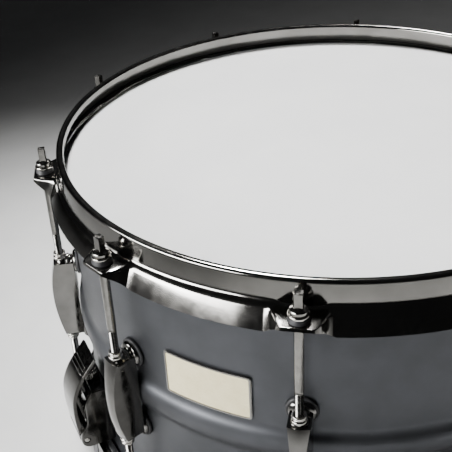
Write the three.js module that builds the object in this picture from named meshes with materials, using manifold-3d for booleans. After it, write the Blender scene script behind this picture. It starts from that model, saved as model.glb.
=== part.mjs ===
// Snare drum, 14 inches across and 8 inches deep, with ten two-ended lugs.
// Millimetres, +Z up. The origin is on the drum's axis, in the plane that its lower rim stands on.
// The strainer is at -X and the butt plate at +X.
import * as THREE from 'three';
import { mergeVertices } from 'three/addons/utils/BufferGeometryUtils.js';
import Module from 'manifold-3d';

const wasm = await Module();
wasm.setup();

// ---- driving dimensions -------------------------------------------------------------------
const DRUM_HEIGHT = 233;          // lower rim to upper rim
const HALF_HEIGHT = DRUM_HEIGHT / 2;
const SHELL_DEPTH = 203.2;        // bearing edge to bearing edge, 8 inches
const SHELL_RADIUS = 177.8;       // outside of the shell, half of 14 inches
const SHELL_WALL = 1.3;
const BEAD_HEIGHT = 3.6;          // how far the centre bead stands out
const BEAD_HALF_WIDTH = 11.5;
const EDGE_FLANGE = 8.7;          // inward flange that stiffens each bearing edge
const EDGE_ROUNDING = 2.4;
const FLANGE_DROP = 4.6;          // how far the flange falls below the bearing edge
const BEAD_CREST_SHARE = 0.45;    // half-width of the bead's crest over that of the bead
const LUG_COUNT = 10;
const LUG_PITCH = 2 * Math.PI / LUG_COUNT;
const FIRST_LUG = LUG_PITCH / 2;
const ROD_CIRCLE = 191;           // radius on which the tension rods stand
const GAP = 0.3;                  // left between pieces that touch
const ROUND_SEGMENTS = 48;        // facets round the shell, the heads and their hoops
const HOOP_SEGMENTS = 120;        // facets round the pressed hoops

const BATTER_FILM = 0.4;
const SNARE_FILM = 0.3;
const COLLAR_DEPTH = 9;           // how far a head's collar reaches down the shell
const FLESH_HOOP = { inner: 179.4, outer: 183.4, top: 19.6, height: 9 };

const LIP_RADIUS = 181.6;         // outside of the hoop's wall
const HOOP_SHEET = 1.8;
const LIP_WIDTH = 4.8;            // inward curl along the rim
const LIP_DEPTH = 3;
const LIP_ROUNDING = 1.3;
const WALL_HEIGHT = 15;
const SHOULDER = { radius: 184.8, drop: 17.4 };
const SKIRT = { radius: 188.8, drop: 29 };
const EAR = { edge: 198.4, halfWidth: 8, blend: 10, holeRadius: 3.5, crowding: 0.6 };

const ROD = {
  headTop: 0.6, headSize: 4.3, headHeight: 9.7, collarRadius: 4.8, collarHeight: 2.3,
  washerRadius: 5.9, washerHeight: 4.5, shankRadius: 2.7, tip: 98,
};
const ROD_SIDES = 8;

const LUG = {
  width: 13, innerEdge: 182, endRadius: 195.6, bulge: 200.4, halfBar: 30,
  postHeight: 28.2, postRadius: 5.5, footRadius: 9.4, footThickness: 3.4,
  nutRadius: 4.1, nutTop: 36.6, boreRadius: 3.05, boreDepth: 21,
};

const WIRES = { length: 300, width: 42, thickness: 1.9, plateLength: 13, plateThickness: 2.6 };
const STRAP = { width: 15, thickness: 0.6, climb: 190.6, top: 83.6, low: 6.8 };
const GATE = { halfWidth: 23, low: 3.6, high: 13.4 };

const HOUSING = {
  back: 178.9, plate: 3, front: 196.6, halfWidth: 15.5, cheek: 3.2, low: 42, high: 88.4, slope: 6,
};
const CARRIAGE = { inner: 182.4, halfWidth: 11.9, low: 58, high: 84, slotHalfWidth: 2.6, slotEnd: 189.1 };
const CLAMP = { halfWidth: 11.6, low: 60, high: 82, screwSpread: 9.3, screwHeight: 71 };
const CLAMP_THICKNESS = 2.8;
const BUTT = { halfWidth: 15.5, low: 40, high: 76, clampLow: 46, clampHigh: 68, screwHeight: 57 };
const BUTT_CLAMP_THICKNESS = 4.6;
const LEVER = {
  pivot: 198.5, pivotHeight: 49, hub: 4.2, pinRadius: 2,
  outside: [[202.7, 49], [204, 67], [203.3, 82], [200, 91], [196, 98], [185, 111.5]],
  inside: [[183.6, 110], [193.8, 96.8], [198, 89.5], [200.9, 82], [201.7, 67], [196.9, 53.2]],
};
const KNOB = { radius: 5.6, height: 8, centre: 186, shaftRadius: 1.9, shaftTip: 68 };
const BRIDGE = { depth: 3.8, reach: 190.2 };
const SCREW = { headRadius: 2.6, headHeight: 2.4, shankRadius: 1.4, grip: 7 };
const FIXING = { headRadius: 4.2, headHeight: 2.6, shankRadius: 1.8, low: 52, high: 66, reach: 180.6 };
const CLEARANCE = 0.3;            // added to the radius of every hole over what passes through it

const BADGE = { from: 207, to: 225, low: 131, high: 162, thickness: 1.4 };
const VENT = { angle: 72, height: 146, boreRadius: 5, holeRadius: 7, flangeRadius: 9.5, flange: 1.6 };

// ---- finishes -----------------------------------------------------------------------------
const finish = (color, roughness, metalness) => ({ color, roughness, metalness });
const BLACK_NICKEL = finish(0x55524c, 0.14, 1);
const SHELL_SATIN = finish(0x4a4e55, 0.42, 0.8);
const COATED_FILM = finish(0xdcdcda, 0.7, 0);
const CLEAR_FILM = finish(0xc9cdcf, 0.3, 0);
const ALUMINIUM = finish(0xa9abae, 0.35, 1);
const STEEL_WIRE = finish(0xb8b8b4, 0.3, 1);
const BLACK_STRAP = finish(0x16161a, 0.6, 0);
const IVORY_PLATE = finish(0xe6dfbd, 0.35, 0);

// ---- making solids ------------------------------------------------------------------------
// Turns a geometry's faces outwards if its signed volume comes out negative.
function facingOut(geometry) {
  const plain = geometry.clone();
  plain.deleteAttribute('normal');
  plain.deleteAttribute('uv');
  const merged = mergeVertices(plain, 1e-4);
  const corner = merged.attributes.position;
  const index = merged.index.array;
  const a = new THREE.Vector3();
  const b = new THREE.Vector3();
  const c = new THREE.Vector3();
  const faces = [];
  let volume = 0;
  for (let i = 0; i < index.length; i += 3) {
    const [ia, ib, ic] = [index[i], index[i + 1], index[i + 2]];
    if (ia === ib || ib === ic || ia === ic) continue;
    a.fromBufferAttribute(corner, ia);
    b.fromBufferAttribute(corner, ib);
    c.fromBufferAttribute(corner, ic);
    volume += a.dot(b.cross(c));
    faces.push([ia, ib, ic]);
  }
  const ordered = volume < 0 ? faces.map(([ia, ib, ic]) => [ia, ic, ib]) : faces;
  merged.setIndex(ordered.flat());
  return merged;
}

function solid(geometry) {
  const closed = facingOut(geometry);
  return new wasm.Manifold(new wasm.Mesh({
    numProp: 3,
    vertProperties: new Float32Array(closed.attributes.position.array),
    triVerts: new Uint32Array(closed.index.array),
  }));
}

function geometryOf(body) {
  const result = body.getMesh();
  const geometry = new THREE.BufferGeometry();
  geometry.setAttribute('position', new THREE.BufferAttribute(new Float32Array(result.vertProperties), 3));
  geometry.setIndex(new THREE.BufferAttribute(new Uint32Array(result.triVerts), 1));
  return geometry;
}

// A profile of [radius, height] points turned about Z.
function turned(profile, segments, closesOnItself = false) {
  const points = profile.map(([radius, height]) => new THREE.Vector2(radius, height));
  if (closesOnItself) points.push(points[0].clone());
  const geometry = new THREE.LatheGeometry(points, segments);
  geometry.rotateX(Math.PI / 2);
  return facingOut(geometry);
}

function box([x0, x1], [y0, y1], [z0, z1]) {
  const geometry = new THREE.BoxGeometry(x1 - x0, y1 - y0, z1 - z0);
  geometry.translate((x0 + x1) / 2, (y0 + y1) / 2, (z0 + z1) / 2);
  return geometry;
}

// A cylinder along 'x', 'y' or 'z', from one place on that axis to another.
function rod(axis, radius, from, to, [u, v], sides = 12) {
  const geometry = new THREE.CylinderGeometry(radius, radius, to - from, sides);
  const middle = (from + to) / 2;
  if (axis === 'x') geometry.rotateZ(Math.PI / 2).translate(middle, u, v);
  if (axis === 'y') geometry.translate(u, middle, v);
  if (axis === 'z') geometry.rotateX(Math.PI / 2).translate(u, v, middle);
  return geometry;
}

// An outline in the radius-height plane, given its width along the tangent.
function slab(outline, halfWidth) {
  const shape = new THREE.Shape(outline.map(([radius, height]) => new THREE.Vector2(radius, height)));
  const geometry = new THREE.ExtrudeGeometry(shape, { depth: 2 * halfWidth, bevelEnabled: false });
  geometry.translate(0, 0, -halfWidth);
  geometry.rotateX(Math.PI / 2);
  return geometry;
}

function named(name, geometry, look) {
  const faceted = geometry.index ? geometry.toNonIndexed() : geometry;
  faceted.computeVertexNormals();
  const mesh = new THREE.Mesh(faceted, new THREE.MeshStandardMaterial(look));
  mesh.name = name;
  return mesh;
}

const atLug = (k) => FIRST_LUG + k * LUG_PITCH;
const twoDigits = (k) => String(k + 1).padStart(2, '0');
const above = (drop) => HALF_HEIGHT - drop;      // height over the mid-plane of a level below the rim

// ---- shell --------------------------------------------------------------------------------
// Spun metal, with a bead round its middle and an inward flange at each bearing edge.
function shellGeometry() {
  const edge = SHELL_DEPTH / 2;
  const inside = SHELL_RADIUS - SHELL_WALL;
  const crest = SHELL_RADIUS + BEAD_HEIGHT;
  const crestHalf = BEAD_HALF_WIDTH * BEAD_CREST_SHARE;
  const upperHalfProfile = [
    [crest, crestHalf],
    [SHELL_RADIUS, BEAD_HALF_WIDTH],
    [SHELL_RADIUS, edge - EDGE_ROUNDING],
    [SHELL_RADIUS - EDGE_ROUNDING, edge],
    [inside - EDGE_FLANGE, edge - FLANGE_DROP],
    [inside - EDGE_FLANGE, edge - FLANGE_DROP - SHELL_WALL],
    [inside, edge - EDGE_ROUNDING - SHELL_WALL],
    [inside, BEAD_HALF_WIDTH],
    [crest - SHELL_WALL, crestHalf],
  ];
  const lowerHalfProfile = upperHalfProfile.map(([radius, height]) => [radius, -height]).reverse();
  let body = solid(turned([...upperHalfProfile, ...lowerHalfProfile], ROUND_SEGMENTS, true));
  const through = [SHELL_RADIUS - 20, SHELL_RADIUS + 20];
  const ventHole = rod('x', VENT.holeRadius, ...through, [0, VENT.height - HALF_HEIGHT], 16);
  ventHole.rotateZ(THREE.MathUtils.degToRad(VENT.angle));
  body = body.subtract(solid(ventHole));
  for (const height of [FIXING.low, FIXING.high]) {
    for (const turn of [0, Math.PI]) {
      const place = [0, height - HALF_HEIGHT];
      const hole = rod('x', FIXING.shankRadius + CLEARANCE, ...through, place, 8);
      hole.rotateZ(turn);
      body = body.subtract(solid(hole));
    }
  }
  return geometryOf(body);
}

// ---- heads --------------------------------------------------------------------------------
// A film drawn over the bearing edge, with a collar that runs down into the flesh hoop.
function filmGeometry(thickness) {
  const under = SHELL_DEPTH / 2 + GAP;
  const top = under + thickness;
  const collar = FLESH_HOOP.inner - GAP;
  const profile = [
    [0, top], [SHELL_RADIUS - 2.6, top], [SHELL_RADIUS + 0.3, top - 1.6], [collar, top - 4],
    [collar, top - COLLAR_DEPTH], [collar - thickness, top - COLLAR_DEPTH],
    [collar - thickness, top - 4.2], [SHELL_RADIUS + 0.1, under - 1.5], [SHELL_RADIUS - 2.8, under],
    [0, under],
  ];
  return turned(profile, ROUND_SEGMENTS);
}

// The channel that grips the film's edge, pressed down by the counter-hoop.
function fleshHoopGeometry() {
  const top = above(FLESH_HOOP.top);
  const bottom = top - FLESH_HOOP.height;
  const { inner, outer } = FLESH_HOOP;
  return turned([[inner, bottom], [outer, bottom], [outer, top], [inner, top]], ROUND_SEGMENTS, true);
}

// ---- hoops --------------------------------------------------------------------------------
// The angle between a place on the hoop and the nearest lug.
function offLug(angle) {
  const pitches = (angle - FIRST_LUG) / LUG_PITCH + LUG_COUNT;
  return Math.abs((pitches + 0.5) % 1 - 0.5) * LUG_PITCH;
}

// The hoop's even facets, moved closer together beside each lug, where its edge turns.
function crowded(angle) {
  const pitches = (angle - FIRST_LUG) / LUG_PITCH + LUG_COUNT;
  const nearest = FIRST_LUG + (Math.round(pitches) - LUG_COUNT) * LUG_PITCH;
  const share = Math.abs(angle - nearest) / (LUG_PITCH / 2);
  const moved = share - EAR.crowding * Math.sin(Math.PI * share) / Math.PI;
  return nearest + Math.sign(angle - nearest) * moved * LUG_PITCH / 2;
}

// How far a hoop section at this angle has turned from ear (0) to drooping skirt (1).
function skirtShare(angle) {
  const along = offLug(angle) * ROD_CIRCLE;
  return THREE.MathUtils.smoothstep(along, EAR.halfWidth, EAR.halfWidth + EAR.blend);
}

// Pressed sheet: a curled lip, an upright wall, a shoulder over the flesh hoop, and a skirt that
// opens out into a flat ear at each lug. Gates let the snare straps through the lower hoop.
function hoopGeometry(hasGates) {
  const wallInside = LIP_RADIUS - HOOP_SHEET;
  const lipInside = LIP_RADIUS - LIP_WIDTH;
  const section = [
    [lipInside, LIP_DEPTH], [lipInside + LIP_ROUNDING, 0], [LIP_RADIUS - LIP_ROUNDING, 0],
    [LIP_RADIUS, LIP_ROUNDING], [LIP_RADIUS, WALL_HEIGHT], [SHOULDER.radius, SHOULDER.drop],
    [SKIRT.radius, SKIRT.drop], [SKIRT.radius - HOOP_SHEET, SKIRT.drop],
    [SHOULDER.radius - HOOP_SHEET / 3, SHOULDER.drop + HOOP_SHEET],
    [wallInside, WALL_HEIGHT + HOOP_SHEET], [wallInside, LIP_DEPTH],
  ];
  const geometry = turned(section.map(([r, drop]) => [r, above(drop)]), HOOP_SEGMENTS, true);
  const corner = geometry.attributes.position;
  const skirtHeight = above(SKIRT.drop);
  const earHeight = above(SHOULDER.drop + 0.2);
  for (let i = 0; i < corner.count; i += 1) {
    const [x, y, z] = [corner.getX(i), corner.getY(i), corner.getZ(i)];
    const radius = Math.hypot(x, y);
    const angle = crowded(Math.atan2(y, x));
    corner.setXYZ(i, radius * Math.cos(angle), radius * Math.sin(angle), z);
    if (radius < SHOULDER.radius + 0.1 || Math.abs(z - skirtHeight) > 0.1) continue;
    const share = skirtShare(angle);
    const isUnderside = radius < SKIRT.radius - HOOP_SHEET / 2;
    const earRadius = EAR.edge / Math.cos(offLug(angle));
    const newRadius = THREE.MathUtils.lerp(earRadius, radius, share);
    const newHeight = THREE.MathUtils.lerp(earHeight - (isUnderside ? HOOP_SHEET : 0), z, share);
    corner.setXYZ(i, newRadius * Math.cos(angle), newRadius * Math.sin(angle), newHeight);
  }
  let body = solid(geometry);
  for (let k = 0; k < LUG_COUNT; k += 1) {
    const hole = rod('z', EAR.holeRadius, above(24), above(12), [ROD_CIRCLE, 0], 8);
    hole.rotateZ(atLug(k));
    body = body.subtract(solid(hole));
  }
  if (hasGates) {
    for (const side of [-1, 1]) {
      const reach = [side * (LIP_RADIUS + 1), side * (LIP_RADIUS - 20)].sort((a, b) => a - b);
      const gate = box(reach, [-GATE.halfWidth, GATE.halfWidth], [above(GATE.high), above(GATE.low)]);
      body = body.subtract(solid(gate));
    }
  }
  return geometryOf(body);
}

// ---- tension rods -------------------------------------------------------------------------
// Square head, collar and washers above the hoop's ear; the shank runs down into the lug's nut.
function tensionRodGeometry() {
  const headTop = above(ROD.headTop);
  const collarTop = headTop - ROD.headHeight;
  const washerTop = collarTop - ROD.collarHeight;
  const seat = above(SHOULDER.drop + 0.2) + GAP;
  const tip = above(ROD.tip);
  const shank = turned([
    [0, tip], [ROD.shankRadius, tip], [ROD.shankRadius, seat], [ROD.washerRadius, seat],
    [ROD.washerRadius, washerTop], [ROD.collarRadius, washerTop], [ROD.collarRadius, collarTop],
    [0, collarTop],
  ], ROD_SIDES);
  const half = ROD.headSize / 2;
  const head = box([-half, half], [-half, half], [collarTop - 1, headTop]);
  return geometryOf(solid(shank).add(solid(head)));
}

// ---- lugs ---------------------------------------------------------------------------------
// A leaf-shaped bar between two round posts on round feet, with a nut for a rod at each end.
function lugGeometry() {
  const { innerEdge, endRadius, bulge, halfBar, postHeight, nutTop } = LUG;
  const bow = new THREE.QuadraticBezierCurve(
    new THREE.Vector2(endRadius, halfBar),
    new THREE.Vector2(2 * bulge - endRadius, 0),
    new THREE.Vector2(endRadius, -halfBar));
  const outline = [
    [innerEdge, halfBar], ...bow.getPoints(6).map((point) => [point.x, point.y]), [innerEdge, -halfBar],
  ];
  let body = solid(slab(outline, LUG.width / 2));
  const footFrom = SHELL_RADIUS + GAP;
  const footTo = footFrom + LUG.footThickness;
  for (const side of [-1, 1]) {
    const axis = [0, side * postHeight];
    body = body.add(solid(rod('x', LUG.footRadius, footFrom, footTo, axis, 10)));
    body = body.add(solid(rod('x', LUG.postRadius, footTo - 1, ROD_CIRCLE, axis, 8)));
    const nutSpan = [side * (halfBar - 1), side * nutTop].sort((low, high) => low - high);
    body = body.add(solid(rod('z', LUG.nutRadius, ...nutSpan, [ROD_CIRCLE, 0], 8)));
  }
  for (const side of [-1, 1]) {
    const boreSpan = [side * (nutTop + 1), side * (nutTop - LUG.boreDepth)].sort((low, high) => low - high);
    body = body.subtract(solid(rod('z', LUG.boreRadius, ...boreSpan, [ROD_CIRCLE, 0], 8)));
  }
  return geometryOf(body);
}

// ---- snare wires --------------------------------------------------------------------------
// Heights from here on are measured from the floor. The band of coiled strands lies under the
// snare head, between two end plates. A strap runs from each plate through the hoop's gate and up
// to the strainer or the butt plate.
const WIRE_TOP = HALF_HEIGHT - SHELL_DEPTH / 2 - GAP - SNARE_FILM - GAP;

function wiresGeometry() {
  const half = WIRES.length / 2 - WIRES.plateLength - GAP;
  const across = [-WIRES.width / 2, WIRES.width / 2];
  return box([-half, half], across, [WIRE_TOP - WIRES.thickness, WIRE_TOP]);
}

function endPlateGeometry() {
  const along = [WIRES.length / 2 - WIRES.plateLength, WIRES.length / 2];
  const across = [-WIRES.width / 2, WIRES.width / 2];
  return box(along, across, [WIRE_TOP - WIRES.plateThickness, WIRE_TOP]);
}

function strapGeometry() {
  const { thickness, climb, top, low } = STRAP;
  const under = WIRE_TOP - WIRES.plateThickness - GAP;
  const start = WIRES.length / 2 - WIRES.plateLength + 1;
  const bend = WIRES.length / 2 + 4;
  return slab([
    [start, under - thickness], [bend, under - thickness], [182, low - thickness],
    [187.4, low - thickness], [190.4 + thickness, 10], [climb + thickness, 15],
    [climb + thickness, top], [climb, top], [climb, 15.2], [190, 10.4], [187, low], [182, low],
    [bend, under], [start, under],
  ], STRAP.width / 2);
}

// ---- clamps and screws --------------------------------------------------------------------
// A screw that lies along X, with its head's underside at the given radius.
function screwGeometry({ headRadius, headHeight, shankRadius }, seat, tip, height, across) {
  const outwards = Math.sign(seat - tip);
  const headSpan = [seat, seat + outwards * headHeight].sort((a, b) => a - b);
  const shankSpan = [tip, seat + outwards * headHeight / 2].sort((a, b) => a - b);
  const head = solid(rod('x', headRadius, ...headSpan, [across, height], 12));
  return geometryOf(head.add(solid(rod('x', shankRadius, ...shankSpan, [across, height], 8))));
}

function drilled(body, radius, spans) {
  let result = body;
  for (const { axis, from, to, place } of spans) {
    result = result.subtract(solid(rod(axis, radius + CLEARANCE, from, to, place, 8)));
  }
  return result;
}

const CLAMP_SEAT = STRAP.climb + STRAP.thickness + GAP;
const BLOCK_FACE = STRAP.climb - GAP;

function clampHoles(height) {
  return [-1, 1].map((side) => (
    { axis: 'x', from: BLOCK_FACE - SCREW.grip, to: 210, place: [side * CLAMP.screwSpread, height] }));
}

function clampGeometry(thickness, low, high, screwHeight) {
  const across = [-CLAMP.halfWidth, CLAMP.halfWidth];
  const plate = solid(box([CLAMP_SEAT, CLAMP_SEAT + thickness], across, [low, high]));
  return geometryOf(drilled(plate, SCREW.shankRadius, clampHoles(screwHeight)));
}

function clampScrewGeometry(thickness, screwHeight, side) {
  const seat = CLAMP_SEAT + thickness + GAP;
  const tip = BLOCK_FACE - SCREW.grip + 1;
  return screwGeometry(SCREW, seat, tip, screwHeight, side * CLAMP.screwSpread);
}

// The screws that hold the strainer and the butt plate enter from inside the shell.
const fixingHoles = [FIXING.low, FIXING.high].map((height) => (
  { axis: 'x', from: HOUSING.back - 5, to: FIXING.reach + 1, place: [0, height] }));

function fixingScrewGeometry(height) {
  return screwGeometry(FIXING, SHELL_RADIUS - SHELL_WALL - 2 * GAP, FIXING.reach, height, 0);
}

// ---- strainer -----------------------------------------------------------------------------
// A cast channel on the shell. Its two cheeks guide the carriage and hold the lever's pin.
function strainerHousingGeometry() {
  const { back, plate, front, halfWidth, cheek, low, high, slope } = HOUSING;
  const hubFront = LEVER.pivot + LEVER.hub - 0.4;
  const side = [
    [back, low], [hubFront - 4, low], [hubFront, low + 4], [hubFront, LEVER.pivotHeight + 4],
    [front, LEVER.pivotHeight + 13], [front, high - slope], [front - slope, high], [back, high],
  ];
  const inner = halfWidth - cheek;
  let body = solid(slab(side, halfWidth));
  body = body.subtract(solid(box([back + plate, hubFront + 5], [-inner, inner], [low - 1, high + 1])));
  body = body.add(solid(box([back + 1, BRIDGE.reach], [-inner - 1, inner + 1], [high - BRIDGE.depth, high])));
  body = drilled(body, KNOB.shaftRadius, [
    { axis: 'z', from: high - BRIDGE.depth - 1, to: high + 1, place: [KNOB.centre, 0] }]);
  body = drilled(body, LEVER.pinRadius, [
    { axis: 'y', from: -halfWidth - 1, to: halfWidth + 1, place: [LEVER.pivot, LEVER.pivotHeight] }]);
  return geometryOf(drilled(body, FIXING.shankRadius, fixingHoles));
}

// A block with a slot down its back, in which the knob's screw stands.
function carriageGeometry() {
  const { inner, halfWidth, low, high, slotHalfWidth, slotEnd } = CARRIAGE;
  const block = solid(box([inner, BLOCK_FACE], [-halfWidth, halfWidth], [low, high]));
  const slot = box([inner - 1, slotEnd], [-slotHalfWidth, slotHalfWidth], [low - 1, high + 1]);
  return geometryOf(drilled(block.subtract(solid(slot)), SCREW.shankRadius, clampHoles(CLAMP.screwHeight)));
}

// The lever swells outwards from its hub and leans back over the knob at its tip.
function leverGeometry() {
  const { pivot, pivotHeight, hub, outside, inside } = LEVER;
  const curve = (points) => new THREE.SplineCurve(points.map(([x, y]) => new THREE.Vector2(x, y)))
    .getPoints(2 * points.length).map((point) => [point.x, point.y]);
  const underHub = [3, 4, 5, 6, 7].map((step) => {
    const angle = step * Math.PI / 4;
    return [pivot + hub * Math.cos(angle), pivotHeight + hub * Math.sin(angle)];
  });
  const body = solid(slab([...curve(outside), ...curve(inside), ...underHub], CARRIAGE.halfWidth));
  return geometryOf(drilled(body, LEVER.pinRadius, [
    { axis: 'y', from: -20, to: 20, place: [pivot, pivotHeight] }]));
}

function knobGeometry() {
  const foot = HOUSING.high + GAP;
  const { radius, height, shaftRadius, shaftTip, centre } = KNOB;
  const geometry = turned([
    [0, shaftTip], [shaftRadius, shaftTip], [shaftRadius, foot], [radius, foot],
    [radius, foot + height - 1], [radius - 1, foot + height], [0, foot + height],
  ], 16);
  return geometry.translate(centre, 0, 0);
}

// ---- butt plate ---------------------------------------------------------------------------
function buttBlockGeometry() {
  const { halfWidth, low, high, screwHeight } = BUTT;
  const side = [
    [HOUSING.back, low], [BLOCK_FACE - 3, low], [BLOCK_FACE, low + 4], [BLOCK_FACE, high - 6],
    [BLOCK_FACE - 5, high], [HOUSING.back, high],
  ];
  const body = drilled(solid(slab(side, halfWidth)), SCREW.shankRadius, clampHoles(screwHeight));
  return geometryOf(drilled(body, FIXING.shankRadius, fixingHoles));
}

// ---- badge and vent -----------------------------------------------------------------------
function badgeGeometry() {
  const from = THREE.MathUtils.degToRad(BADGE.from);
  const to = THREE.MathUtils.degToRad(BADGE.to);
  const inner = SHELL_RADIUS + GAP;
  const shape = new THREE.Shape();
  shape.absarc(0, 0, inner + BADGE.thickness, from, to, false);
  shape.absarc(0, 0, inner, to, from, true);
  shape.closePath();
  const depth = BADGE.high - BADGE.low;
  const geometry = new THREE.ExtrudeGeometry(shape, { depth, bevelEnabled: false, curveSegments: 6 });
  return geometry.translate(0, 0, BADGE.low);
}

function ventGeometry() {
  const seat = SHELL_RADIUS + GAP;
  const sleeve = VENT.holeRadius - GAP;
  const geometry = turned([
    [VENT.boreRadius, SHELL_RADIUS - SHELL_WALL - 1], [sleeve, SHELL_RADIUS - SHELL_WALL - 1],
    [sleeve, seat], [VENT.flangeRadius, seat], [VENT.flangeRadius - 0.6, seat + VENT.flange],
    [VENT.boreRadius, seat + VENT.flange],
  ], 16, true);
  geometry.rotateY(Math.PI / 2);
  geometry.translate(0, 0, VENT.height);
  return geometry.rotateZ(THREE.MathUtils.degToRad(VENT.angle));
}

// ---- assembly -----------------------------------------------------------------------------
const drum = new THREE.Group();

const middle = new THREE.Group();
middle.position.z = HALF_HEIGHT;
drum.add(middle);
middle.add(named('shell', shellGeometry(), SHELL_SATIN));
const lug = lugGeometry();
for (let k = 0; k < LUG_COUNT; k += 1) {
  const mesh = named(`lug_${twoDigits(k)}`, lug, BLACK_NICKEL);
  mesh.rotation.z = atLug(k);
  middle.add(mesh);
}

// One head with its hoops and rods. The lower set is the same set turned over.
function addHeadSet(half, side, film, hasGates) {
  half.add(named(`${side}_head`, filmGeometry(film.thickness), film.look));
  half.add(named(`${side}_flesh_hoop`, fleshHoopGeometry(), ALUMINIUM));
  half.add(named(`${side}_hoop`, hoopGeometry(hasGates), BLACK_NICKEL));
  const tensionRod = tensionRodGeometry();
  for (let k = 0; k < LUG_COUNT; k += 1) {
    const mesh = named(`${side}_rod_${twoDigits(k)}`, tensionRod, BLACK_NICKEL);
    const angle = atLug(k) * (side === 'snare' ? -1 : 1);
    mesh.position.set(ROD_CIRCLE * Math.cos(angle), ROD_CIRCLE * Math.sin(angle), 0);
    mesh.rotation.z = angle;
    half.add(mesh);
  }
}

const upperHalf = new THREE.Group();
const lowerHalf = new THREE.Group();
lowerHalf.rotation.x = Math.PI;
middle.add(upperHalf, lowerHalf);
addHeadSet(upperHalf, 'batter', { thickness: BATTER_FILM, look: COATED_FILM }, false);
addHeadSet(lowerHalf, 'snare', { thickness: SNARE_FILM, look: CLEAR_FILM }, true);

drum.add(named('snare_wires', wiresGeometry(), STEEL_WIRE));
drum.add(named('badge', badgeGeometry(), IVORY_PLATE));
drum.add(named('vent_grommet', ventGeometry(), BLACK_NICKEL));

// Everything at the strainer's side is laid out along +X and then turned to -X.
const strainerSide = new THREE.Group();
strainerSide.rotation.z = Math.PI;
const buttSide = new THREE.Group();
drum.add(strainerSide, buttSide);

const ends = [
  { name: 'strainer', group: strainerSide },
  { name: 'butt', group: buttSide },
];
for (const { name, group } of ends) {
  group.add(named(`${name}_end_plate`, endPlateGeometry(), STEEL_WIRE));
  group.add(named(`${name}_strap`, strapGeometry(), BLACK_STRAP));
  group.add(named(`${name}_fixing_screw_low`, fixingScrewGeometry(FIXING.low), ALUMINIUM));
  group.add(named(`${name}_fixing_screw_high`, fixingScrewGeometry(FIXING.high), ALUMINIUM));
}

strainerSide.add(named('strainer_housing', strainerHousingGeometry(), BLACK_NICKEL));
strainerSide.add(named('strainer_carriage', carriageGeometry(), BLACK_NICKEL));
strainerSide.add(named('strainer_clamp',
  clampGeometry(CLAMP_THICKNESS, CLAMP.low, CLAMP.high, CLAMP.screwHeight), BLACK_NICKEL));
strainerSide.add(named('strainer_lever', leverGeometry(), BLACK_NICKEL));
const pinHalf = HOUSING.halfWidth - GAP;
strainerSide.add(named('strainer_lever_pin',
  rod('y', LEVER.pinRadius, -pinHalf, pinHalf, [LEVER.pivot, LEVER.pivotHeight]), ALUMINIUM));
strainerSide.add(named('strainer_knob', knobGeometry(), BLACK_NICKEL));
buttSide.add(named('butt_block', buttBlockGeometry(), BLACK_NICKEL));
buttSide.add(named('butt_clamp',
  clampGeometry(BUTT_CLAMP_THICKNESS, BUTT.clampLow, BUTT.clampHigh, BUTT.screwHeight), BLACK_NICKEL));
for (const [name, side] of [['left', -1], ['right', 1]]) {
  strainerSide.add(named(`strainer_clamp_screw_${name}`,
    clampScrewGeometry(CLAMP_THICKNESS, CLAMP.screwHeight, side), BLACK_NICKEL));
  buttSide.add(named(`butt_clamp_screw_${name}`,
    clampScrewGeometry(BUTT_CLAMP_THICKNESS, BUTT.screwHeight, side), BLACK_NICKEL));
}

export default drum;
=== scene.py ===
from math import cos, pi, radians, sin, tau

import bmesh
import bpy
from mathutils import Matrix, Vector


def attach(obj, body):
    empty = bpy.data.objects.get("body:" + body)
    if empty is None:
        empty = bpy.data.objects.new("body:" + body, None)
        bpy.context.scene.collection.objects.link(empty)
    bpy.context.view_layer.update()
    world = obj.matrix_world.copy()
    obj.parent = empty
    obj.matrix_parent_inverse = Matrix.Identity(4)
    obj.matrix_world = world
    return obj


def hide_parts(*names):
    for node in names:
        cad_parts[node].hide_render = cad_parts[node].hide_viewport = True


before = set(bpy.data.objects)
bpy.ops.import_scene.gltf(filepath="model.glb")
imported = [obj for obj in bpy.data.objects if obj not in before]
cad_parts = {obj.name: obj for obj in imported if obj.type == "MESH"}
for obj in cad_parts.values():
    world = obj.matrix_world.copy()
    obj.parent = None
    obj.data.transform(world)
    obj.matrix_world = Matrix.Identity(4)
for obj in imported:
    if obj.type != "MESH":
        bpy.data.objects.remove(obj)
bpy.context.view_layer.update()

# ---- camera -------------------------------------------------------------------------------
# A close look down on the batter side from in front of the strainer, through a short portrait
# lens about 60 cm from the middle of the head, tipped a little to one side.
camera_data = bpy.data.cameras.new("camera")
camera_data.sensor_width = 36
camera_data.lens = 71.8
camera_data.clip_start = 0.02
camera = bpy.data.objects.new("camera", camera_data)
camera.matrix_world = (Matrix.Translation((-0.2794, -0.4610, 0.4896))
                       @ Matrix.Rotation(radians(-23.19), 4, "Z")
                       @ Matrix.Rotation(radians(57.94), 4, "X")
                       @ Matrix.Rotation(radians(-3.2), 4, "Z"))
bpy.context.scene.collection.objects.link(camera)
bpy.context.scene.camera = camera


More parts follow.
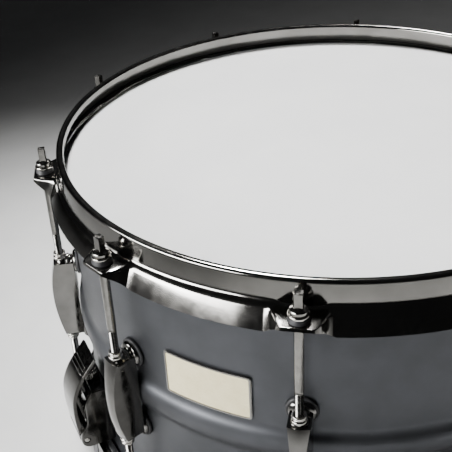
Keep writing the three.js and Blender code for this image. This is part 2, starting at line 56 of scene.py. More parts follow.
# ---- floor --------------------------------------------------------------------------------
# A pale studio sweep, matt and slightly mottled. It is only there to stand the drum on.
class Look:
    """A procedural finish: one shader, with its textures laid out in the piece's own space."""

    def __init__(self, name, colour, metallic, roughness, **sockets):
        self.material = bpy.data.materials.new(name)
        self.material.use_nodes = True
        self.nodes = self.material.node_tree.nodes
        self.links = self.material.node_tree.links
        self.shader = self.nodes["Principled BSDF"]
        self.shader.inputs["Base Color"].default_value = (*colour, 1)
        self.shader.inputs["Metallic"].default_value = metallic
        self.shader.inputs["Roughness"].default_value = roughness
        for socket, value in sockets.items():
            self.shader.inputs[socket.replace("_", " ")].default_value = value
        self.place = self.nodes.new("ShaderNodeTexCoord").outputs["Object"]
        self.normal = None

    def stretched(self, stretch):
        mapping = self.nodes.new("ShaderNodeMapping")
        mapping.inputs["Scale"].default_value = stretch
        self.links.new(self.place, mapping.inputs["Vector"])
        return mapping.outputs["Vector"]

    def noise(self, size, stretch=(1, 1, 1), detail=3, warp=0):
        """Cloudy variation whose blotches are about size millimetres across."""
        texture = self.nodes.new("ShaderNodeTexNoise")
        texture.inputs["Scale"].default_value = 1000 / size
        texture.inputs["Detail"].default_value = detail
        texture.inputs["Distortion"].default_value = warp
        self.links.new(self.stretched(stretch), texture.inputs["Vector"])
        return texture.outputs["Fac"]

    def spread(self, source, low, high, start=0.35, end=0.65):
        """The source's middle range, spread from low to high."""
        change = self.nodes.new("ShaderNodeMapRange")
        ends = {"From Min": start, "From Max": end, "To Min": low, "To Max": high}
        for socket, value in ends.items():
            change.inputs[socket].default_value = value
        self.links.new(source, change.inputs["Value"])
        return change.outputs["Result"]

    def rough(self, source, low, high, start=0.35, end=0.65):
        self.links.new(self.spread(source, low, high, start, end), self.shader.inputs["Roughness"])

    def tint(self, source, first, second, start=0.35, end=0.65):
        """The colour goes from the first to the second as the source rises."""
        mix = self.nodes.new("ShaderNodeMix")
        mix.data_type = "RGBA"
        mix.inputs["A"].default_value = (*first, 1)
        mix.inputs["B"].default_value = (*second, 1)
        self.links.new(self.spread(source, 0, 1, start, end), mix.inputs["Factor"])
        self.links.new(mix.outputs["Result"], self.shader.inputs["Base Color"])

    def relief(self, source, depth, strength=1):
        """Raises and lowers the surface by up to depth millimetres."""
        bump = self.nodes.new("ShaderNodeBump")
        bump.inputs["Distance"].default_value = depth / 1000
        bump.inputs["Strength"].default_value = strength
        self.links.new(source, bump.inputs["Height"])
        if self.normal:
            self.links.new(self.normal, bump.inputs["Normal"])
        self.normal = bump.outputs["Normal"]
        self.links.new(self.normal, self.shader.inputs["Normal"])


paper = Look("studio_paper", (0.62, 0.62, 0.61), 0, 0.8)
paper.tint(paper.noise(60), (0.60, 0.60, 0.59), (0.64, 0.64, 0.63))
paper.relief(paper.noise(3), 0.05)
floor_mesh = bpy.data.meshes.new("floor")
floor_mesh.from_pydata([(-6, -6, 0), (6, -6, 0), (6, 6, 0), (-6, 6, 0)], [], [(0, 1, 2, 3)])
floor_mesh.materials.append(paper.material)
floor = bpy.data.objects.new("floor", floor_mesh)
bpy.context.scene.collection.objects.link(floor)

# ---- lights -------------------------------------------------------------------------------
# A soft box high behind the drum lights the head. A lower one beside the strainer draws the
# long highlights in the plated hoops, one lights the floor at the left, and a weak fill and a
# dim grey room do the rest.
def soft_box(name, place, target, width, height, watts, spread=180):
    data = bpy.data.lights.new(name, "AREA")
    data.shape = "RECTANGLE"
    data.size = width
    data.size_y = height
    data.energy = watts
    data.spread = radians(spread)
    light = bpy.data.objects.new(name, data)
    aim = Vector(target) - Vector(place)
    light.matrix_world = Matrix.Translation(place) @ aim.to_track_quat("-Z", "Y").to_matrix().to_4x4()
    light.visible_camera = False
    bpy.context.scene.collection.objects.link(light)


soft_box("key", (0.3, 0.9, 1.6), (0.08, 0.05, 0.23), 0.8, 0.8, 5.6, 16)
soft_box("low_left", (-0.89, -0.08, 0.34), (-0.15, -0.08, 0.21), 0.85, 0.26, 4.2, 70)
soft_box("floor_left", (-0.72, 0.3, 0.9), (-0.72, 0.26, 0), 0.4, 0.4, 0.7, 40)
soft_box("fill", (1.2, -0.6, 1.2), (0, 0, 0.2), 1.0, 1.0, 0.3)
room = bpy.data.worlds.new("room")
room.use_nodes = True
room.node_tree.nodes["Background"].inputs["Color"].default_value = (0.50, 0.51, 0.53, 1)
room.node_tree.nodes["Background"].inputs["Strength"].default_value = 0.035
bpy.context.scene.world = room


# ---- shell --------------------------------------------------------------------------------
# The real shell is spun from brass sheet, with a round bead rolled out at the middle and each
# edge turned inwards. It is plated dark and satin-finished, so fine lines run round it.
def rounded(corners, closed=True, steps=6):
    """A line through corners of (u, v) or (u, v, ease); an eased corner becomes a smooth bend."""
    points = []
    for i, corner in enumerate(corners):
        here = Vector(corner[:2])
        at_end = not closed and i in (0, len(corners) - 1)
        if len(corner) < 3 or at_end:
            points.append(here)
            continue
        before = Vector(corners[i - 1][:2]) - here
        after = Vector(corners[(i + 1) % len(corners)][:2]) - here
        reach = min(corner[2], 0.49 * before.length, 0.49 * after.length)
        start = here + before.normalized() * reach
        end = here + after.normalized() * reach
        for step in range(steps + 1):
            t = step / steps
            points.append(start * (1 - t) ** 2 + here * 2 * t * (1 - t) + end * t * t)
    return points


def solid(vertices, faces):
    """A closed mesh in millimetres with its faces outwards."""
    mesh = bpy.data.meshes.new("solid")
    mesh.from_pydata([tuple(v) for v in vertices], [], faces)
    work = bmesh.new()
    work.from_mesh(mesh)
    bmesh.ops.remove_doubles(work, verts=work.verts, dist=1e-4)
    bmesh.ops.recalc_face_normals(work, faces=work.faces)
    work.to_mesh(mesh)
    work.free()
    return mesh


def ring(section_at, segments=360, closed=True):
    """A solid turned about Z. section_at gives the (radius, height) points at each angle."""
    columns = [section_at(tau * i / segments) for i in range(segments)]
    count = len(columns[0])
    vertices = []
    for i, column in enumerate(columns):
        angle = tau * i / segments
        vertices += [(r * cos(angle), r * sin(angle), z) for r, z in column]
    faces = []
    for i in range(segments):
        here, there = i * count, (i + 1) % segments * count
        for k in range(count if closed else count - 1):
            m = (k + 1) % count
            faces.append((here + k, there + k, there + m, here + m))
    return solid(vertices, faces)


def spun(profile, segments=360, closed=True):
    return ring(lambda angle: profile, segments, closed)


def moved(mesh, turn=0, axis="Z", shift=(0, 0, 0)):
    """The mesh turned about an axis by so many degrees, and then shifted."""
    mesh.transform(Matrix.Translation(shift) @ Matrix.Rotation(radians(turn), 4, axis))
    return mesh


def pin(radius, low, high, segments=32, ease=0):
    """A round pin on the Z axis, eased at both ends."""
    corner = (ease,) if ease else ()
    profile = rounded([(0, low), (radius, low, *corner), (radius, high, *corner), (0, high)], False, 4)
    return spun(profile, segments, False)


def combined(first, second, operation="UNION"):
    """Two solids joined into one, or with DIFFERENCE the first cut by the second."""
    objects = [bpy.data.objects.new("solid", mesh) for mesh in (first, second)]
    for item in objects:
        bpy.context.scene.collection.objects.link(item)
    change = objects[0].modifiers.new("change", "BOOLEAN")
    change.object = objects[1]
    change.operation = operation
    change.solver = "EXACT"
    bpy.context.view_layer.update()
    result = bpy.data.meshes.new_from_object(
        objects[0].evaluated_get(bpy.context.evaluated_depsgraph_get()))
    for item in objects:
        bpy.data.objects.remove(item)
    return result


def cut(mesh, *tools):
    for tool in tools:
        mesh = combined(mesh, tool, "DIFFERENCE")
    return mesh


def put(name, mesh, look, body, nodes, place=Matrix.Identity(4), sharp=24):
    """Makes a shown piece of a mesh in millimetres, smooth except over edges sharper than sharp."""
    if "ready" not in mesh:
        mesh.transform(Matrix.Scale(0.001, 4))
        mesh.shade_smooth()
        mesh.set_sharp_from_angle(angle=radians(sharp))
        mesh.materials.clear()
        mesh.materials.append(look.material)
        mesh["ready"] = True
    piece = bpy.data.objects.new(name, mesh)
    bpy.context.scene.collection.objects.link(piece)
    shift = Matrix.Translation(place.translation * 0.001 - place.translation)
    piece.matrix_world = shift @ place
    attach(piece, body)
    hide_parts(*nodes)
    return piece


HEIGHT = 233
MIDDLE = HEIGHT / 2
SHELL_RADIUS = 177.8
SHELL_WALL = 1.3
edge = 101.6
inside = SHELL_RADIUS - SHELL_WALL
upper = [
    (181.4, 5.0, 4), (177.8, 11.5, 4), (177.8, edge - 2.2, 1.5), (176.4, edge, 1.2),
    (inside - 1, edge - 0.6, 1), (inside - 8.7, edge - 4.6, 0.6), (inside - 8.7, edge - 5.9, 0.5),
    (inside, edge - 3.4, 1.2), (inside, 11.5, 4), (180.1, 5.0, 4),
]
lower = [(r, -z, *ease) for r, z, *ease in reversed(upper)]
shell_mesh = spun([(r, z + MIDDLE) for r, z in rounded(upper + lower)])
holes = [moved(moved(pin(7, -20, 20, 48), 90, "Y", (SHELL_RADIUS, 0, 146)), 72)]
for turn in (0, 180):
    for height in (52, 66):
        holes.append(moved(moved(pin(2.1, -20, 20, 24), 90, "Y", (SHELL_RADIUS, 0, height)), turn))
shell_mesh = cut(shell_mesh, *holes)

satin = Look("satin_black_plate", (0.072, 0.075, 0.082), 0.85, 0.36)
satin.tint(satin.noise(26, detail=4), (0.064, 0.067, 0.073), (0.080, 0.083, 0.091))
satin.rough(satin.noise(1.1, (1, 1, 14), detail=5), 0.37, 0.47)
satin.relief(satin.noise(1.0, (1, 1, 22), detail=4), 0.004)
put("drum_shell", shell_mesh, satin, "drum", ["shell"], sharp=30)


# ---- heads --------------------------------------------------------------------------------
# Each head is a polyester film drawn down over the bearing edge, its collar gripped in a metal
# channel. The batter head has a sprayed white coating; the snare head is thin, hazy and clear.
def sheet_section(line, thickness):
    """The closed section of a sheet whose outer face follows the line, its body on the right."""
    back = []
    for i, here in enumerate(line):
        normals = []
        for a, b in ((i - 1, i), (i, i + 1)):
            if 0 <= a and b < len(line) and (line[b] - line[a]).length > 1e-6:
                run = (line[b] - line[a]).normalized()
                normals.append(Vector((run.y, -run.x)))
        middle = sum(normals, Vector((0, 0))).normalized()
        back.append(here + middle * thickness / max(0.6, middle.dot(normals[0])))
    return list(line) + back[::-1]


def turned_over(place=Matrix.Identity(4)):
    """Where a piece of the batter side goes on the snare side."""
    return place @ Matrix.Translation((0, 0, HEIGHT)) @ Matrix.Rotation(pi, 4, "X")


def film_mesh(thickness):
    top = MIDDLE + edge + 0.3 + thickness
    flat = [(r, top) for r in (0, 40, 80, 120, 150)]
    line = rounded(flat + [(175.6, top, 2.2), (178.4, top - 3.2, 1.6), (179.1, top - 9)], False, 8)
    return spun(sheet_section(line, thickness), closed=False)


coated = Look("coated_film", (0.77, 0.77, 0.765), 0, 0.6, Specular_IOR_Level=0.4)
coated.tint(coated.noise(45, detail=5), (0.755, 0.757, 0.755), (0.785, 0.785, 0.778))
coated.rough(coated.noise(12, detail=4), 0.52, 0.66)
coated.relief(coated.noise(0.45, detail=2), 0.02)
coated.relief(coated.noise(9, detail=3), 0.03)
put("batter_film", film_mesh(0.4), coated, "drum", ["batter_head"], sharp=50)

hazy = Look("hazy_film", (0.80, 0.82, 0.83), 0, 0.3, Transmission_Weight=0.45, IOR=1.45)
hazy.rough(hazy.noise(20, detail=4), 0.24, 0.36)
hazy.relief(hazy.noise(14, detail=2), 0.02)
put("snare_film", film_mesh(0.3), hazy, "drum", ["snare_head"], turned_over(), 50)

# ---- flesh hoops --------------------------------------------------------------------------
# An aluminium channel is crimped round the film's edge and filled with resin. It runs in the
# space between the shell and the counter-hoop's skirt, which presses it down.
channel_top = HEIGHT - 19.6
channel = rounded([
    (179.4, channel_top - 9, 0.8), (183.4, channel_top - 9, 1.2), (183.4, channel_top, 1.2),
    (181.9, channel_top, 0.4), (181.9, channel_top - 1.4, 0.3), (180.9, channel_top - 1.4, 0.3),
    (180.9, channel_top, 0.4), (179.4, channel_top, 0.6),
])
channel_mesh = spun(channel)
aluminium = Look("rolled_aluminium", (0.60, 0.61, 0.62), 1, 0.32)
aluminium.tint(aluminium.noise(30), (0.56, 0.57, 0.58), (0.64, 0.64, 0.65))
aluminium.rough(aluminium.noise(2, (1, 1, 12), detail=4), 0.26, 0.42)
aluminium.relief(aluminium.noise(0.6, (1, 1, 16)), 0.006)
put("batter_channel", channel_mesh, aluminium, "drum", ["batter_flesh_hoop"])
put("snare_channel", channel_mesh, aluminium, "drum", ["snare_flesh_hoop"], turned_over())

# ---- counter-hoops ------------------------------------------------------------------------
# Pressed from steel sheet and plated black nickel. The rim rolls inwards, an upright wall runs
# down to a rounded shoulder over the head's channel, and a skirt flares out below a crease.
# At each lug the skirt opens out into a flat ear with a hole for the tension rod.
LUG_PITCH = tau / 10
ROD_CIRCLE = 191
SHEET = 1.8
EAR_EDGE = 198.4


def between(a, b, share):
    return a + (b - a) * share


def ear_share(angle):
    """0 along the skirt and 1 on the ear, and how far the angle is from the nearest lug."""
    off = abs((angle / LUG_PITCH) % 1 - 0.5) * LUG_PITCH
    t = min(1, max(0, (off * ROD_CIRCLE - 7.5) / 11.5))
    return 1 - t * t * (3 - 2 * t), off


def hoop_section(angle):
    share, off = ear_share(angle)
    ear = EAR_EDGE / cos(min(off, 0.12))
    fillet = between(14.3, 16.6, share)
    ridge = (between(184.4, ear - 0.5, share ** 1.5), between(17.0, 17.5, share))
    crease = (between(186.3, ear - 0.1, share ** 1.5), between(22.0, 18.9, share))
    hem = (between(188.8, ear, share ** 1.5), between(29.0, 19.3, share))
    line = rounded([
        (176.9, 4.6), (176.9, 0, 2.3), (181.6, 0, 2.2), (181.6, fillet, 2.2),
        (*ridge, between(2.4, 0.5, share)), crease, hem,
    ], False, 6)
    return sheet_section([Vector((r, HEIGHT - drop)) for r, drop in
                          ((p[0], p[1]) for p in line)], SHEET)


hoop_mesh = ring(hoop_section, 720)
for k in range(10):
    ear_hole = moved(pin(3.5, HEIGHT - 26, HEIGHT - 12), shift=(ROD_CIRCLE, 0, 0))
    hoop_mesh = cut(hoop_mesh, moved(ear_hole, 18 + 36 * k))


def block(outline, low, high, lay, ease=0.4, sharp=35):
    """A solid of this outline between two depths, its sharp edges eased. lay places (u, v, depth)."""
    count = len(outline)
    vertices = [lay(p[0], p[1], depth) for depth in (low, high) for p in outline]
    faces = [tuple(range(count)), tuple(range(count, 2 * count))]
    faces += [(k, (k + 1) % count, (k + 1) % count + count, k + count) for k in range(count)]
    return eased(solid(vertices, faces), ease, sharp)


def eased(mesh, ease, sharp=35):
    """Rounds off every edge that is sharper than sharp degrees."""
    if ease:
        work = bmesh.new()
        work.from_mesh(mesh)
        edges = [e for e in work.edges if e.calc_face_angle(0) > radians(sharp)]
        bmesh.ops.bevel(work, geom=edges, offset=ease, segments=3, affect="EDGES", clamp_overlap=True)
        work.to_mesh(mesh)
        work.free()
    return mesh


def across_x(u, v, depth):
    return (depth, u, v)


def across_y(u, v, depth):
    return (u, depth, v)


def across_z(u, v, depth):
    return (u, v, depth)


def oblong(low_u, high_u, low_v, high_v, ease):
    return rounded([(low_u, low_v, ease), (high_u, low_v, ease), (high_u, high_v, ease),
                    (low_u, high_v, ease)])


# The snare side's hoop is the same pressing, with a gate through its wall for each strap.
gate = oblong(-23, 23, HEIGHT - 13.4, HEIGHT - 3.6, 2.4)
gated_mesh = cut(hoop_mesh.copy(), block(gate, 165, 182.6, across_x, 0),
                 block(gate, -182.6, -165, across_x, 0))

nickel = Look("black_nickel", (0.23, 0.225, 0.212), 1, 0.11)
nickel.tint(nickel.noise(22, detail=4), (0.205, 0.20, 0.188), (0.255, 0.249, 0.235))
nickel.rough(nickel.noise(7, detail=5, warp=0.6), 0.095, 0.135)
nickel.relief(nickel.noise(0.5, (1, 1, 7), detail=3), 0.0008)
put("batter_rim", hoop_mesh, nickel, "drum", ["batter_hoop"])
put("snare_rim", gated_mesh, nickel, "drum", ["snare_hoop"], turned_over())

# ---- tension rods -------------------------------------------------------------------------
# Turned and plated steel screws. Each has a square head for a drum key, a collar, a steel and a
# nylon washer under it, a plain shank, and a rolled thread below the shank's step.
def thread(radius, depth, pitch, low, high, angle):
    """A screw thread's (radius, height) points at one angle, fading out at both ends."""
    steps = 8
    points = []
    for i in range(int((high - low) / pitch * steps) + 1):
        height = low + i * pitch / steps
        wave = abs(((height / pitch - angle / tau) % 1) * 2 - 1)
        fade = min(1, (height - low) / pitch, (high - height) / pitch)
        points.append((radius - depth * wave * max(0, fade), height))
    return points


def rod_section(angle):
    head_down = [
        (0, 9.3), (3.0, 9.3), (3.9, 9.9), (4.6, 10.3), (4.8, 10.7), (4.8, 12.0), (4.5, 12.5),
        (2.7, 12.6), (2.7, 62.4), (2.62, 63.0), (2.4, 63.3), (2.4, 63.7),
    ]
    line = [(0, HEIGHT - 98.0), (2.1, HEIGHT - 98.0)]
    line += thread(2.55, 0.42, 1.06, HEIGHT - 97.6, HEIGHT - 64, angle)
    return line + [(r, HEIGHT - drop) for r, drop in reversed(head_down)]


KEY_HALF = 4.3 / 2
rod_mesh = combined(
    ring(rod_section, 24, False),
    block(oblong(-KEY_HALF, KEY_HALF, -KEY_HALF, KEY_HALF, 0.4), HEIGHT - 10.2, HEIGHT - 0.6,
          across_z, 0.4))
washer = spun(rounded([
    (2.95, HEIGHT - 14.5, 0.2), (5.7, HEIGHT - 14.5, 0.7), (5.7, HEIGHT - 12.7, 0.7),
    (2.95, HEIGHT - 12.7, 0.2)]), 64)
cushion = spun(rounded([
    (2.95, HEIGHT - 17.3, 0.2), (5.9, HEIGHT - 17.3, 0.4), (5.3, HEIGHT - 14.6, 0.5),
    (2.95, HEIGHT - 14.6, 0.2)]), 64)

bright = Look("bright_nickel", (0.62, 0.60, 0.56), 1, 0.14)
bright.tint(bright.noise(6), (0.57, 0.55, 0.51), (0.66, 0.64, 0.60))
bright.rough(bright.noise(3, detail=5), 0.09, 0.22)
bright.relief(bright.noise(0.4, (1, 1, 4)), 0.002)
screw_plate = Look("plated_screw", (0.24, 0.233, 0.22), 1, 0.15)
screw_plate.tint(screw_plate.noise(5), (0.205, 0.2, 0.188), (0.275, 0.267, 0.252))
screw_plate.rough(screw_plate.noise(2.5, detail=5), 0.10, 0.24)
screw_plate.relief(screw_plate.noise(0.4, (1, 1, 5)), 0.002)
nylon = Look("black_nylon", (0.018, 0.018, 0.02), 0, 0.45)
nylon.rough(nylon.noise(2, detail=4), 0.36, 0.55)
nylon.relief(nylon.noise(0.5), 0.02)


def at_lug(k, reach=0):
    """The place of lug k, counted from the strainer's right round the drum."""
    return Matrix.Rotation(radians(18 + 36 * k), 4, "Z") @ Matrix.Translation((reach, 0, 0))


for k in range(10):
    number = f"{k + 1:02d}"
    place = at_lug(k, ROD_CIRCLE)
    for side, at in (("batter", place), ("snare", turned_over(place))):
        node = f"{side}_rod_{number}"
        put(f"{side}_key_rod_{number}", rod_mesh, screw_plate, node, [node], at)
        put(f"{side}_washer_{number}", washer, bright, node, [node], at)
        put(f"{side}_cushion_{number}", cushion, nylon, node, [node], at)

# ---- lugs ---------------------------------------------------------------------------------
# Die-cast and plated. A leaf-shaped bar stands off the shell on two turned posts, each on a
# domed flange with a rubber gasket under it, and takes a bright swivel nut at each end.
BAR_HALF = 30
POST_HEIGHT = 28.2


def leaf_level(height):
    """The bar's outline at one height: flat sides, then two long facets up to a narrow front."""
    swell = 1 - (height / BAR_HALF) ** 2
    crease = ROD_CIRCLE + 4.0 - 8.0 * swell
    front = ROD_CIRCLE + 4.6 + 4.4 * swell
    half_front = 6.2 - 2.2 * swell
    near = [(182, 6.5), (crease, 6.5), (front - 0.5, half_front), (front, half_front * 0.6)]
    far = [(r, -t) for r, t in reversed(near)]
    return [(r, t, height) for r, t in (*near, (front + 0.35, 0), *far)]


def loft(levels):
    """A solid skinned over these outlines, one after another, closed at both ends."""
    count = len(levels[0])
    faces = [tuple(range(count)), tuple(range(count * (len(levels) - 1), count * len(levels)))]
    for i in range(len(levels) - 1):
        for k in range(count):
            m = (k + 1) % count
            faces.append((i * count + k, i * count + m, (i + 1) * count + m, (i + 1) * count + k))
    return solid([v for level in levels for v in level], faces)


lug_mesh = eased(loft([leaf_level(BAR_HALF * sin(radians(i * 5))) for i in range(-18, 19)]), 0.45, 50)
post = rounded([
    (0, 180.3), (8.1, 180.3, 0.4), (8.1, 181.0, 0.5), (7.2, 182.2, 1.2), (5.0, 183.0, 0.8),
    (4.5, 184.0, 0.8), (4.5, 185.0, 0.3), (5.7, 185.2, 0.4), (5.7, 186.6, 0.4), (5.0, 186.9, 0.3),
    (5.0, 187.6, 0.3), (5.5, 187.8, 0.3), (5.5, 191.6, 2.2), (3.4, 193.8, 2), (0, 194.2),
], False, 4)
for side in (-1, 1):
    lug_mesh = combined(lug_mesh, moved(spun(post, 64, False), 90, "Y", (0, 0, side * POST_HEIGHT)))
for side in (-1, 1):
    low, high = sorted((side * 15, side * 40))
    lug_mesh = cut(lug_mesh, moved(pin(3.05, low, high), shift=(ROD_CIRCLE, 0, 0)))
lug_mesh = moved(lug_mesh, shift=(0, 0, MIDDLE))

gasket = spun(rounded([
    (4, 178.1), (9.4, 178.1, 0.5), (9.4, 179.4, 0.6), (8.7, 180.2, 0.5), (4, 180.2)]), 72)
nut = spun(rounded([
    (2.85, 28, 0.2), (3.7, 28, 0.3), (3.7, 32.0, 0.3), (4.5, 32.4, 0.4), (4.5, 33.6, 0.4),
    (3.5, 34.2, 0.3), (3.5, 35.0, 0.3), (4.1, 35.2, 0.4), (4.1, 36.6, 0.6), (2.85, 36.6, 0.3)]), 48)
gaskets = {"upper": moved(gasket.copy(), 90, "Y", (0, 0, MIDDLE + POST_HEIGHT)),
           "lower": moved(gasket.copy(), 90, "Y", (0, 0, MIDDLE - POST_HEIGHT))}
nuts = {"upper": moved(nut.copy(), shift=(0, 0, MIDDLE)),
        "lower": moved(nut.copy(), 180, "X", (0, 0, MIDDLE))}

rubber = Look("black_rubber", (0.012, 0.012, 0.013), 0, 0.55)
rubber.rough(rubber.noise(2.4, detail=4), 0.45, 0.68)
rubber.relief(rubber.noise(0.6), 0.03)
casting = Look("plated_casting", (0.16, 0.156, 0.149), 1, 0.11)
casting.tint(casting.noise(14, detail=4), (0.14, 0.136, 0.13), (0.18, 0.176, 0.168))
casting.rough(casting.noise(5, detail=5, warp=0.5), 0.08, 0.17)
casting.relief(casting.noise(2.2), 0.006)
for k in range(10):
    number = f"{k + 1:02d}"
    node = f"lug_{number}"
    put(f"lug_casting_{number}", lug_mesh, casting, "drum", [node], at_lug(k))
    for side in ("upper", "lower"):
        put(f"lug_gasket_{side}_{number}", gaskets[side], rubber, "drum", [node], at_lug(k))
        put(f"lug_nut_{side}_{number}", nuts[side], bright, "drum", [node],
            at_lug(k, ROD_CIRCLE))


# ---- badge --------------------------------------------------------------------------------
# A plain ivory enamel plate in a raised black-plated border, curved to the shell and glued on.
def bent(mesh, middle):
    """Bends a flat piece round the shell: X runs along the shell from this angle, and Y up it."""
    work = bmesh.new()
    work.from_mesh(mesh)
    reach = max(v.co.x for v in work.verts)
    for i in range(int(-reach / 1.5), int(reach / 1.5) + 1):
        everything = [*work.verts, *work.edges, *work.faces]
        bmesh.ops.bisect_plane(work, geom=everything, plane_co=(i * 1.5 + 0.01, 0, 0),
                               plane_no=(1, 0, 0))
    for v in work.verts:
        angle = radians(middle) + v.co.x / SHELL_RADIUS
        radius = SHELL_RADIUS + v.co.z
        v.co = (radius * cos(angle), radius * sin(angle), v.co.y)
    work.to_mesh(mesh)
    work.free()
    return mesh


half = radians(9) * SHELL_RADIUS
plate = block(oblong(-half + 1.3, half - 1.3, 132.3, 160.7, 1.6), 0.3, 1.35, across_z, 0.2)
border = cut(block(oblong(-half, half, 131, 162, 2.8), 0.3, 1.7, across_z, 0.35),
             block(oblong(-half + 1.4, half - 1.4, 132.4, 160.6, 1.5), 0, 3, across_z, 0))
enamel = Look("ivory_enamel", (0.70, 0.62, 0.38), 0, 0.3, Coat_Weight=0.4)
enamel.tint(enamel.noise(8, detail=4), (0.68, 0.60, 0.36), (0.74, 0.66, 0.42))
enamel.rough(enamel.noise(2, (1, 1, 6), detail=4), 0.24, 0.40)
enamel.relief(enamel.noise(1.4), 0.01)
put("badge_plate", bent(plate, 216), enamel, "drum", ["badge"])
put("badge_border", bent(border, 216), nickel, "drum", ["badge"])

# ---- vent grommet -------------------------------------------------------------------------
# A plated eyelet pressed through the shell that lets the air out when the head is struck.
eyelet = spun(rounded([
    (5, 175.5, 0.6), (6.7, 175.5, 0.6), (6.7, 178.1), (9.5, 178.1, 0.3), (9.3, 179.4, 1.0),
    (5.6, 179.8, 0.9), (5, 178.9, 0.5)]), 72)
put("vent_eyelet", moved(moved(eyelet, 90, "Y", (0, 0, 146)), 72), casting, "drum",
    ["vent_grommet"])

# ---- strainer -----------------------------------------------------------------------------
# Cast and plated. A channel on the shell carries a throw lever on a steel pin. The lever lowers
# a carriage that clamps the snare strap, and a knurled knob on a long screw sets its tension.
STRAP_FACE = 190.6
CLAMP_FACE = 191.5
PIVOT = (198.5, 49)
KNOB_AXIS = 186.0


def along_x(mesh, x, y, z):
    return moved(mesh, 90, "Y", (x, y, z))


def along_y(mesh, x, z):
    return moved(mesh, 90, "X", (x, 0, z))


def clamp_bores(height):
    return [along_x(pin(1.7, -12, 12, 24), 190, y, height) for y in (-9.3, 9.3)]


def fixing_bores():
    return [along_x(pin(2.1, -6, 3, 24), 181.9, 0, height) for height in (52, 66)]


def slotted_screw(head_radius, head_height, shank_radius, shank_length):
    """A pan-head screw on the Z axis with a crossed recess, its head's underside at 0."""
    body = spun(rounded([
        (0, -shank_length), (shank_radius, -shank_length, 0.4), (shank_radius, -0.1),
        (head_radius, 0, 0.2),
        (head_radius, head_height * 0.6, 0.6), (head_radius * 0.6, head_height, 0.6), (0, head_height),
    ], False, 5), 40, False)
    arm, deep = head_radius * 0.62, head_height * 0.45
    for u, v in ((arm, 0.32), (0.32, arm)):
        body = cut(body, block(oblong(-u, u, -v, v, 0.1), deep, head_height + 1, across_z, 0))
    return body


def to_strainer(mesh):
    return moved(mesh, 180)


side_view = rounded([
    (178.9, 42, 1.5), (198.3, 42, 3), (202.3, 46, 3), (202.3, 53, 3), (196.6, 62, 4), (196.6, 78.4, 3),
    (190.6, 88.4, 2), (178.9, 88.4, 1)])
housing = cut(block(side_view, -15.5, 15.5, across_y, 0.7),
              block(oblong(181.9, 212, 34, 108, 0.6), -12.3, 12.3, across_y, 0))
housing = combined(housing, block(oblong(180.4, 190.2, 84.7, 88.3, 0.8), -13.4, 13.4, across_y, 0.3))
housing = cut(housing, moved(pin(2.2, 80, 95), shift=(KNOB_AXIS, 0, 0)),
              along_y(pin(2.3, -20, 20), *PIVOT), *fixing_bores())
put("strainer_channel", to_strainer(housing), casting, "drum", ["strainer_housing"],
    sharp=30)

slider = cut(block(oblong(182.4, 190.3, 58, 84, 1.2), -11.9, 11.9, across_y, 0.6),
             moved(pin(2.2, 60, 90), shift=(KNOB_AXIS, 0, 0)), *clamp_bores(71))
put("strainer_slider", to_strainer(slider), casting, "carriage", ["strainer_carriage"],
    sharp=30)
jaw = cut(block(oblong(-11.6, 11.6, 60, 82, 2.5), CLAMP_FACE, 194.3, across_x, 0.7), *clamp_bores(71))
put("strainer_jaw", to_strainer(jaw), casting, "carriage", ["strainer_clamp"], sharp=30)

blade = rounded([
    (199.6, 50, 1), (202.6, 51, 3), (204.0, 67, 9), (203.3, 82, 8), (200.0, 91, 6), (196.0, 98, 6),
    (185.0, 111.5, 0.6), (183.6, 110, 0.6), (193.8, 96.8, 6), (198.0, 89.5, 6), (200.9, 82, 8),
    (201.7, 67, 9), (198.6, 52, 2)])
lever = combined(block(blade, -11.9, 11.9, across_y, 0.5),
                 along_y(pin(4.2, -11.9, 11.9, 48, 0.6), *PIVOT))
for x, z in ((194.2, 100.1), (192.3, 102.4), (190.4, 104.7)):
    lever = combined(lever, along_y(pin(0.8, -9, 9, 20, 0.5), x, z))
lever = cut(lever, along_y(pin(2.3, -20, 20), *PIVOT))
put("strainer_throw", to_strainer(lever), casting, "lever", ["strainer_lever"], sharp=30)
lever_pin = along_y(pin(2.0, -15.2, 15.2, 40, 0.5), *PIVOT)
put("strainer_axle", to_strainer(lever_pin), bright, "drum", ["strainer_lever_pin"])


def knob_section(angle):
    grip = 5.4 + 0.2 * cos(24 * angle)
    return rounded([(0, 88.7), (4.8, 88.7, 0.4), (grip, 89.5, 0.5), (grip, 95.4, 0.8),
                    (4.4, 96.7, 0.8), (3.2, 96.2, 0.6), (0, 96.0)], False, 4)


def adjuster_section(angle):
    return [(0, 68), (1.4, 68), *thread(1.85, 0.3, 0.7, 68.4, 87.6, angle),
            (1.9, 88.0), (1.9, 90.0), (0, 90.0)]


knob = combined(ring(knob_section, 288, False), ring(adjuster_section, 24, False))
put("strainer_thumb_knob", to_strainer(moved(knob, shift=(KNOB_AXIS, 0, 0))), casting, "knob",
    ["strainer_knob"])

# ---- butt plate ---------------------------------------------------------------------------
# A cast block opposite the strainer, with a clamp plate that holds the far strap's end.
block_view = rounded([
    (178.9, 40, 1), (187.3, 40, 3), (190.3, 44, 3), (190.3, 70, 4), (185.3, 76, 3), (178.9, 76, 1)])
butt = cut(block(block_view, -15.5, 15.5, across_y, 0.7), *clamp_bores(57),
           along_x(pin(2.1, -6, 3, 24), 181.9, 0, 52), along_x(pin(2.1, -6, 3, 24), 181.9, 0, 66))
put("butt_casting", butt, casting, "drum", ["butt_block"], sharp=30)
butt_jaw = cut(block(oblong(-11.6, 11.6, 46, 68, 2.5), CLAMP_FACE, 196.1, across_x, 0.9),
               *clamp_bores(57))
put("butt_jaw", butt_jaw, casting, "drum", ["butt_clamp"], sharp=30)

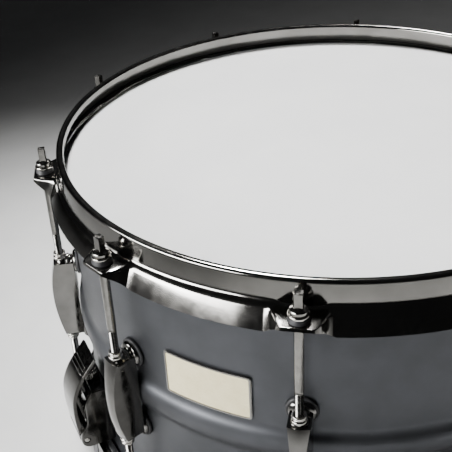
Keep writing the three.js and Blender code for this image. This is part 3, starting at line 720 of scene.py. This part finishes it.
# ---- screws -------------------------------------------------------------------------------
# Plated steel pan-head screws. Two close each clamp from outside; two hold the strainer and two
# the butt plate from inside the shell.
for label, y in (("left", -9.3), ("right", 9.3)):
    for end, seat, height, body in (("strainer", 194.6, 71, "carriage"), ("butt", 196.4, 57, "drum")):
        screw = along_x(slotted_screw(2.6, 2.4, 1.4, seat - 184.3), seat, y, height)
        if end == "strainer":
            screw = to_strainer(screw)
        put(f"{end}_jaw_screw_{label}", screw, screw_plate, body,
            [f"{end}_clamp_screw_{label}"])
for label, height in (("low", 52), ("high", 66)):
    for end, turn in (("strainer", 180), ("butt", 0)):
        screw = moved(moved(slotted_screw(4.2, 2.6, 1.8, 4.6), -90, "Y", (175.9, 0, height)), turn)
        put(f"{end}_inner_screw_{label}", screw, aluminium, "drum",
            [f"{end}_fixing_screw_{label}"])

# ---- snare wires --------------------------------------------------------------------------
# Twenty strands of coiled steel wire lie against the snare head, soldered at both ends to a
# steel plate. They hum when the head moves.
WIRE_TOP = 14.0
COIL_RADIUS = 0.7
WIRE_RADIUS = 0.25


def coil(half_length, pitch, per_turn=8, sides=5):
    levels = []
    for i in range(int(2 * half_length / pitch * per_turn) + 1):
        angle = tau * i / per_turn
        x = -half_length + pitch * i / per_turn
        level = []
        for side in range(sides):
            tilt = tau * side / sides
            reach = COIL_RADIUS + WIRE_RADIUS * cos(tilt)
            level.append((x + WIRE_RADIUS * sin(tilt), reach * cos(angle), reach * sin(angle)))
        levels.append(level)
    return loft(levels)


steel = Look("spring_steel", (0.63, 0.62, 0.59), 1, 0.25)
steel.tint(steel.noise(9), (0.58, 0.57, 0.54), (0.68, 0.67, 0.64))
steel.rough(steel.noise(2, detail=4), 0.18, 0.34)
steel.relief(steel.noise(0.3), 0.003)
strand = coil(136.4, 1.25)
for k in range(20):
    place = Matrix.Translation((0, (k - 9.5) * 2.1, WIRE_TOP - COIL_RADIUS - WIRE_RADIUS - 0.05))
    put(f"snare_strand_{k + 1:02d}", strand, steel, "snares", ["snare_wires"], place, 60)
end_plate = cut(block(oblong(137, 150, -21, 21, 1.2), WIRE_TOP - 2.6, WIRE_TOP, across_z, 0.5),
                block(oblong(144.6, 146.4, -9, 9, 0.6), 10, 15, across_z, 0))
put("butt_bar", end_plate.copy(), steel, "snares", ["butt_end_plate"])
put("strainer_bar", to_strainer(end_plate.copy()), steel, "snares", ["strainer_end_plate"])

# ---- straps -------------------------------------------------------------------------------
# Black woven ribbon. Each strap runs from its end plate out through the hoop's gate, round the
# bearing edge and up into its clamp.
strap_line = rounded([
    (138, 11.1), (154, 11.1, 6), (182, 6.8, 5), (187.2, 6.8, 3), (190.3, 11.4, 3),
    (STRAP_FACE, 15.4, 3),
    (STRAP_FACE, 83.6)], False, 8)
strap = block(sheet_section(strap_line, 0.6), -7.5, 7.5, across_y, 0.12, 60)
ribbon = Look("woven_ribbon", (0.016, 0.016, 0.018), 0, 0.62, Sheen_Weight=0.25)
weave = ribbon.nodes.new("ShaderNodeTexWave")
weave.inputs["Scale"].default_value = 1000 / 1.4
weave.bands_direction = "DIAGONAL"
ribbon.links.new(ribbon.place, weave.inputs["Vector"])
ribbon.relief(weave.outputs["Fac"], 0.06)
ribbon.rough(ribbon.noise(1.5), 0.52, 0.72)
put("butt_ribbon", strap.copy(), ribbon, "snares", ["butt_strap"])
put("strainer_ribbon", to_strainer(strap.copy()), ribbon, "snares", ["strainer_strap"])
